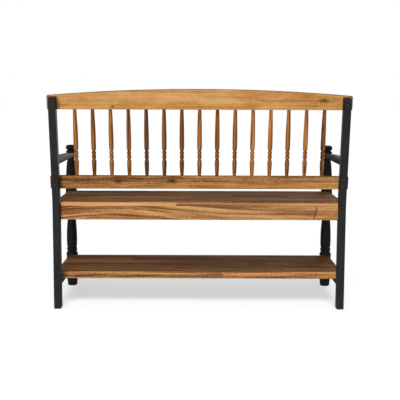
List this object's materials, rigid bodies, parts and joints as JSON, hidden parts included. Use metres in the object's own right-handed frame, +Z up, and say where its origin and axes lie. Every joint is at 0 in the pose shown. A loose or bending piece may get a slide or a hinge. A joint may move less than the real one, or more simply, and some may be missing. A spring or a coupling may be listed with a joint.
{
  "type": "bench",
  "caption": "Wooden bench with a raked spindle back under an arched rail, armrests, turned front posts and a low shelf under the seat.",
  "frame": {"origin": "on the floor, in the middle of the bench's footprint", "axes": "+X along the bench, +Y from the seat towards the back, +Z up; the sitter faces -Y"},
  "size_m": [1.2296, 0.5618, 0.9033],
  "materials": {
    "black_paint": "satin black paint",
    "honey_wood": "satin oil",
    "brown_wood": "satin oil",
    "spindle_wood": "satin oil",
    "stave_wood": "semi-gloss lacquer",
    "apron_wood": "satin oil",
    "bolt_steel": "dark satin"
  },
  "bodies": {
    "root": {"rear_post_left": "black_paint", "rear_post_right": "black_paint", "front_post_left": "black_paint", "front_post_right": "black_paint", "armrest_left": "black_paint", "armrest_right": "black_paint", "shelf_stretcher_left": "black_paint", "shelf_stretcher_right": "black_paint", "top_rail": "honey_wood", "lower_back_rail": "brown_wood", "spindle_01": "spindle_wood", "spindle_02": "spindle_wood", "spindle_03": "spindle_wood", "spindle_04": "spindle_wood", "spindle_05": "spindle_wood", "spindle_06": "spindle_wood", "spindle_07": "spindle_wood", "spindle_08": "spindle_wood", "spindle_09": "spindle_wood", "spindle_10": "spindle_wood", "spindle_11": "spindle_wood", "spindle_12": "spindle_wood", "spindle_13": "spindle_wood", "spindle_14": "spindle_wood", "spindle_15": "spindle_wood", "seat_board": "stave_wood", "shelf_board": "stave_wood", "rear_apron": "apron_wood", "front_apron": "apron_wood", "side_apron_left": "apron_wood", "side_apron_right": "apron_wood", "rail_bolts": "bolt_steel"}
  },
  "joints": []
}
